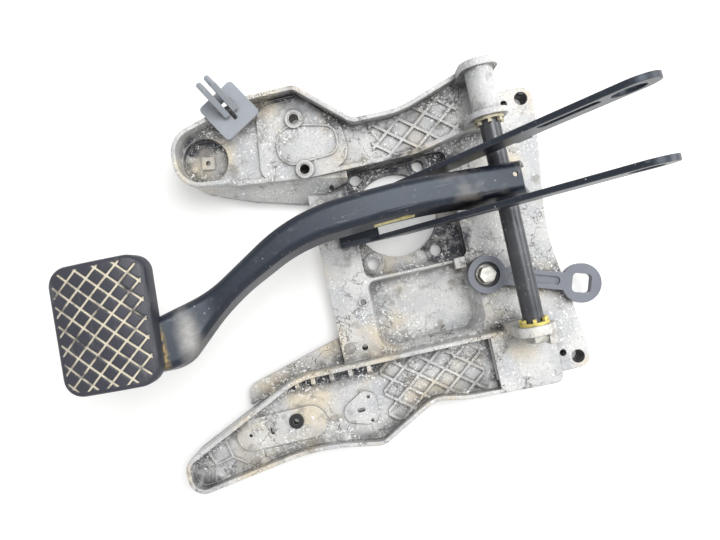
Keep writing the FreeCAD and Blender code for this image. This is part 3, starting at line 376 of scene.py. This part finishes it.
def pad_rubber():
    """Black moulded rubber, greyed by dust, with pale dirt packed in its grooves."""
    paint = Finish("pad_rubber")
    cloud = paint.noise(70, 5)
    colour = paint.mix(cloud, rgb(42, 43, 52), rgb(64, 65, 74))
    scuffs = paint.level(paint.noise(240, 4, stretch=(1.0, 0.25, 1.0), shift=3.0), 0.58, 0.74)
    colour = paint.mix(paint.times(scuffs, 0.20), colour, rgb(140, 139, 136))
    groove = paint.node("ShaderNodeAttribute", attribute_name="groove").outputs["Fac"]
    dirtier = paint.level(paint.sides[0], *DIRT_X)
    filled = paint.level(paint.noise(110, 4, shift=8.0), 0.26, 0.46)
    packed = paint.times(paint.level(groove, 0.25, 0.65), filled)
    packed = paint.times(packed, paint.blend(dirtier, 0.75, 1.0))
    dirt = paint.mix(paint.noise(380, 3, shift=5.0), rgb(198, 189, 167), rgb(236, 230, 214))
    colour = paint.mix(packed, colour, dirt)
    grain = paint.noise(1500, 2)
    paint.set(Base_Color=colour, Specular_IOR_Level=0.4)
    paint.set(Roughness=paint.blend(packed, paint.blend(cloud, 0.30, 0.46), 0.9))
    paint.set(Normal=paint.bump(grain, 0.00006, 0.7))
    return paint.material


def moulded(name, dark, light, rough):
    """Moulded plastic or painted metal: gentle colour drift, fine grain, grime and painted shade in
    corners, paler edges.
    """
    paint = Finish(name)
    cloud = paint.noise(60, 4)
    colour = paint.mix(cloud, dark, light)
    # Grime and painted shade: darker in corners found by ambient occlusion, broken up by noise
    grime_and_shade = paint.times(paint.hollow(0.004), paint.level(paint.noise(200, 4, shift=3.0), 0.30, 0.65))
    colour = paint.mix(paint.times(grime_and_shade, 0.7), colour, rgb(52, 48, 42))
    edge = paint.times(paint.worn(0.0009), 0.35)
    colour = paint.mix(edge, colour, rgb(205, 205, 202))
    dust = paint.level(paint.noise(420, 4, shift=6.0), 0.62, 0.78)
    colour = paint.mix(paint.times(dust, 0.25), colour, rgb(186, 184, 178))
    grain = paint.noise(900, 2)
    paint.set(Base_Color=colour, Roughness=paint.blend(cloud, rough, rough + 0.12))
    paint.set(Normal=paint.bump(grain, 0.00008, 0.6, paint.soft_edge(0.0006)))
    return paint.material


def plated(name, dark, light):
    """Zinc plated or plain steel: dull metal with tarnish, and brown grime and painted shade in the
    corners.
    """
    paint = Finish(name)
    cloud = paint.noise(180, 5)
    colour = paint.mix(paint.level(cloud, 0.30, 0.70), dark, light)
    tarnish = paint.level(paint.noise(90, 4, shift=4.0), 0.52, 0.70)
    colour = paint.mix(paint.times(tarnish, 0.5), colour, rgb(126, 120, 104))
    # Grime and painted shade: brown wherever ambient occlusion finds a corner
    grime_and_shade = paint.hollow(0.004)
    colour = paint.mix(paint.times(grime_and_shade, 0.6), colour, rgb(70, 58, 44))
    paint.set(Base_Color=colour, Metallic=0.75, Roughness=paint.blend(cloud, 0.32, 0.52))
    paint.set(Normal=paint.bump(paint.noise(800, 2), 0.00006, 0.6, paint.soft_edge(0.0007)))
    return paint.material


def pad_top_edge(x):
    """Height of the pad's sloping upper edge at x, in the pad's own frame."""
    return PAD_H / 2 - PAD_CUT * (PAD_W / 2 - x) / PAD_W


def edge_distance(x, y):
    """How far a point is inside the pad's outline, which has round corners."""
    half_w = PAD_W / 2
    low = y + PAD_H / 2
    high = pad_top_edge(x) - y
    side = half_w - abs(x)
    across = min(low, high)
    if side < PAD_CORNER_R and across < PAD_CORNER_R:
        return PAD_CORNER_R - math.hypot(PAD_CORNER_R - side, PAD_CORNER_R - across)
    return min(side, across)


def outline_point(x, y):
    """Moves a point that lies outside the outline's round corner back onto it."""
    half_w = PAD_W / 2
    top = pad_top_edge(x)
    corner_x = math.copysign(half_w - PAD_CORNER_R, x)
    corner_y = top - PAD_CORNER_R if y > 0 else PAD_CORNER_R - PAD_H / 2
    if abs(x) > abs(corner_x) and (y > corner_y if y > 0 else y < corner_y):
        reach = max(abs(x - corner_x), abs(y - corner_y))
        away = math.hypot(x - corner_x, y - corner_y)
        if away > 0:
            scale = reach / away
            return corner_x + (x - corner_x) * scale, corner_y + (y - corner_y) * scale
    return x, y


def groove_share(x, y, inside):
    """1 at the bottom of a groove, 0 on a tile, for a point in the pad's own frame."""
    deepest = 0.0
    diagonals = ((x + y) / math.sqrt(2), (x - y) / math.sqrt(2))
    for along, shift in zip(diagonals, GROOVE_SHIFT):
        away = abs((along - shift + GROOVE_PITCH / 2) % GROOVE_PITCH - GROOVE_PITCH / 2)
        share = 1.0 - min(away / (GROOVE_W / 2 + GROOVE_SLOPE), 1.0)
        deepest = max(deepest, min(share * GROOVE_STEEP, 1.0))
    fade = min(max((inside - GROOVE_MARGIN) / GROOVE_FADE, 0.0), 1.0)
    return deepest * fade


def pad_point(x, y, radius):
    """Point of the pad at a radius about the crown axis, in metres in the shared frame."""
    turn = math.radians(PAD_TURN)
    world_x = PAD_X + x * math.cos(turn) - y * math.sin(turn)
    world_y = PAD_Y + x * math.sin(turn) + y * math.cos(turn)
    world_z = CROWN_Z - CROWN_R + math.sqrt(radius ** 2 - (world_x - CROWN_X) ** 2)
    return (world_x * MM, world_y * MM, world_z * MM)


def strip(outer, inner):
    """Faces between two closed rings of points."""
    return [(outer[k - 1], inner[k - 1], inner[k], outer[k]) for k in range(len(outer))]


def pad_face(radius, columns, rows):
    """Points of the pad's tiled face, row by row: in plan, in space, and how deep in a groove each is."""
    plan = []
    points = []
    shares = []
    for row in range(rows + 1):
        for column in range(columns + 1):
            x = PAD_W * (column / columns - 0.5)
            y = -PAD_H / 2 + (pad_top_edge(x) + PAD_H / 2) * row / rows
            x, y = outline_point(x, y)
            inside = max(edge_distance(x, y), 0.0)
            share = groove_share(x, y, inside)
            drop = 0.0
            if inside < PAD_RIM_R:
                drop = PAD_RIM_R - math.sqrt(PAD_RIM_R ** 2 - (PAD_RIM_R - inside) ** 2)
            plan.append((x, y))
            shares.append(share)
            points.append(pad_point(x, y, radius - drop - GROOVE_DEPTH * share))
    return plan, points, shares


def grid_faces(columns, rows):
    """Square faces of a grid of points."""
    faces = []
    stride = columns + 1
    for row in range(rows):
        for column in range(columns):
            first = row * stride + column
            faces.append((first, first + 1, first + 1 + stride, first + stride))
    return faces


def grid_border(columns, rows):
    """Points along the four sides of a grid, once around."""
    stride = columns + 1
    border = list(range(stride))
    border += [row * stride + columns for row in range(1, rows + 1)]
    border += [rows * stride + column for column in range(columns - 1, -1, -1)]
    border += [row * stride for row in range(rows - 1, 0, -1)]
    return border


def pad_cover():
    """Rubber cover with rounded diamond tiles, a soft rim, a lip behind the plate and a hollow for it."""
    seat_low = CROWN_R - RUBBER_FIT
    seat_high = CROWN_R + PLATE_T + RUBBER_FIT
    columns = round(PAD_W / PAD_STEP)
    rows = round(PAD_H / PAD_STEP)
    plan, points, shares = pad_face(seat_high + RUBBER_T, columns, rows)
    faces = grid_faces(columns, rows)
    border = grid_border(columns, rows)
    under = [                    # inset and radius of each ring, and its inset where the arm passes
        (0.0, seat_low - LIP_T, 0.0),
        (LIP_REACH, seat_low - LIP_T, SEAT_INSET / 3),
        (LIP_REACH, seat_low, SEAT_INSET * 2 / 3),
        (SEAT_INSET, seat_low, SEAT_INSET),
    ]
    last = border
    for inset, radius, arm_inset in under:
        ring = []
        for index in border:
            x, y = plan[index]
            reach = math.hypot(x, y)
            place = pad_point(x, y, radius)
            if x > 0 and ARM_WAY[0] < place[1] / MM < ARM_WAY[1]:
                share = 1.0 - arm_inset / reach
                place = pad_point(x * share, y * share, CROWN_R)
            else:
                share = 1.0 - inset / reach
                place = pad_point(x * share, y * share, radius)
            ring.append(len(points))
            points.append(place)
        faces += strip(last, ring)
        last = ring
    for step in range(SEAT_RINGS):
        ring = []
        for index in border:
            x, y = plan[index]
            share = (1.0 - SEAT_INSET / math.hypot(x, y)) * (1.0 - step / SEAT_RINGS)
            ring.append(len(points))
            points.append(pad_point(x * share, y * share, seat_high))
        faces += strip(last, ring)
        last = ring
    centre = len(points)
    points.append(pad_point(0.0, 0.0, seat_high))
    faces += [(last[k - 1], centre, last[k]) for k in range(len(last))]
    shares += [0.0] * (len(points) - len(shares))
    mesh = bpy.data.meshes.new("pad_cover")
    mesh.from_pydata(points, [], faces)
    groove = mesh.attributes.new("groove", "FLOAT", "POINT")
    groove.data.foreach_set("value", shares)
    mesh.shade_smooth()
    mesh.set_sharp_from_angle(angle=math.radians(SHARP_ANGLE))
    cover = bpy.data.objects.new("pad_cover", mesh)
    bpy.context.collection.objects.link(cover)
    return cover


def seen_rays(tree):
    """1 for the rays that show the surroundings as they look: straight, mirrored or through glass."""
    rays = tree.nodes.new("ShaderNodeLightPath")
    seen = rays.outputs["Is Camera Ray"]
    for kind in ("Is Glossy Ray", "Is Transmission Ray"):
        either = tree.nodes.new("ShaderNodeMath")
        either.operation = "MAXIMUM"
        tree.links.new(seen, either.inputs[0])
        tree.links.new(rays.outputs[kind], either.inputs[1])
        seen = either.outputs[0]
    return seen


def floor_material():
    """Pale table that keeps the shadow and shows white to the camera and in reflections."""
    material = bpy.data.materials.new("floor")
    material.use_nodes = True
    tree = material.node_tree
    tree.nodes.clear()
    glow = tree.nodes.new("ShaderNodeMath")
    glow.operation = "MULTIPLY"
    glow.inputs[1].default_value = FLOOR_GLOW
    tree.links.new(seen_rays(tree), glow.inputs[0])
    light = tree.nodes.new("ShaderNodeEmission")
    tree.links.new(glow.outputs[0], light.inputs["Strength"])
    cover = tree.nodes.new("ShaderNodeBsdfDiffuse")
    cover.inputs["Color"].default_value = FLOOR_COLOUR
    both = tree.nodes.new("ShaderNodeAddShader")
    tree.links.new(cover.outputs[0], both.inputs[0])
    tree.links.new(light.outputs[0], both.inputs[1])
    out = tree.nodes.new("ShaderNodeOutputMaterial")
    tree.links.new(both.outputs[0], out.inputs["Surface"])
    return material


def make_floor():
    """Large plain table under the object."""
    half = FLOOR_SIZE / 2
    mesh = bpy.data.meshes.new("floor")
    corners = [(-half, -half, 0), (half, -half, 0), (half, half, 0), (-half, half, 0)]
    mesh.from_pydata(corners, [], [(0, 1, 2, 3)])
    table = bpy.data.objects.new("floor", mesh)
    bpy.context.collection.objects.link(table)
    table.location.z = -FLOOR_DROP
    mesh.materials.append(floor_material())


def make_light():
    """Sky that is brighter overhead and looks white, and two soft lamps on the right."""
    world = bpy.data.worlds.new("studio")
    bpy.context.scene.world = world
    world.use_nodes = True
    tree = world.node_tree
    place = tree.nodes.new("ShaderNodeTexCoord")
    height = tree.nodes.new("ShaderNodeSeparateXYZ")
    tree.links.new(place.outputs["Generated"], height.inputs[0])
    sky = tree.nodes.new("ShaderNodeMapRange")
    sky.inputs["To Min"].default_value = SKY_SIDE
    sky.inputs["To Max"].default_value = SKY_TOP
    tree.links.new(height.outputs["Z"], sky.inputs["Value"])
    strength = tree.nodes.new("ShaderNodeMix")
    lit, seen = MIX_NUMBERS
    strength.inputs[seen].default_value = SKY_SEEN
    tree.links.new(seen_rays(tree), strength.inputs["Factor"])
    tree.links.new(sky.outputs["Result"], strength.inputs[lit])
    tree.links.new(strength.outputs[0], tree.nodes["Background"].inputs["Strength"])
    tree.nodes["Background"].inputs["Color"].default_value = SKY_COLOUR

    for name, size, stand, power in LAMPS:
        light = bpy.data.lights.new(name, "AREA")
        light.shape = "SQUARE"
        light.size = size
        light.energy = power
        lamp = bpy.data.objects.new(name, light)
        lamp.location = stand
        lamp.rotation_euler = (-lamp.location).to_track_quat("-Z", "Y").to_euler()
        bpy.context.collection.objects.link(lamp)


def make_camera():
    """Camera straight above, turned as the photograph is."""
    lens = bpy.data.cameras.new("camera")
    lens.lens = CAMERA_LENS
    lens.sensor_width = CAMERA_SENSOR
    camera = bpy.data.objects.new("camera", lens)
    camera.location = CAMERA_PLACE
    camera.rotation_euler = (0.0, 0.0, math.radians(CAMERA_TURN))
    bpy.context.collection.objects.link(camera)
    bpy.context.scene.camera = camera


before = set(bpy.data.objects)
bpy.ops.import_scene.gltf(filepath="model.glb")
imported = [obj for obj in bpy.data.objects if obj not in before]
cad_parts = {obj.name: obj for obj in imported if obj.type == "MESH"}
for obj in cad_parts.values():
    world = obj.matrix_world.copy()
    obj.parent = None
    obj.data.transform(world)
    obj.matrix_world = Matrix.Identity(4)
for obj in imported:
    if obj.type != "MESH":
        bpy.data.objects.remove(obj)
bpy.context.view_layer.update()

bpy.context.scene.view_settings.view_transform = "Standard"
make_camera()
make_light()
make_floor()

zinc = plated("zinc", rgb(150, 150, 144), rgb(206, 206, 198))
steel = plated("insert_steel", rgb(118, 116, 112), rgb(176, 174, 170))
bush_plastic = moulded("bush_plastic", rgb(226, 202, 92), rgb(244, 228, 138), 0.40)
plain_coat = black_coat("fork_coat", marks=False)
finishes = {
    "bracket": casting(),
    "pedal_arm": black_coat("arm_coat", marks=True),
    "hub_tube": tube_coat(),
    "pad_plate": plain_coat,
    "lower_bush": bush_plastic,
    "upper_bush": moulded("dusty_bush", rgb(186, 178, 146), rgb(218, 212, 186), 0.55),
    "pivot_bolt": zinc,
    "support_fork": plain_coat,
    "fork_bolts": zinc,
    "fork_washers": zinc,
    "link_lever": moulded("link_grey", rgb(100, 104, 114), rgb(128, 132, 142), 0.38),
    "link_washer": zinc,
    "link_bolt": zinc,
    "harness_clip": moulded("clip_plastic", rgb(140, 145, 152), rgb(168, 173, 180), 0.45),
    "leg_grommet": moulded("grommet_rubber", rgb(22, 22, 23), rgb(38, 38, 40), 0.60),
    "boss_inserts": steel,
    "locating_dowel": steel,
}
for name, material in finishes.items():
    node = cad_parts[name]
    node.data.materials.clear()
    node.data.materials.append(material)

cover = pad_cover()
cover.data.materials.append(pad_rubber())
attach(cover, "pedal")
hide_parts("pedal_pad")
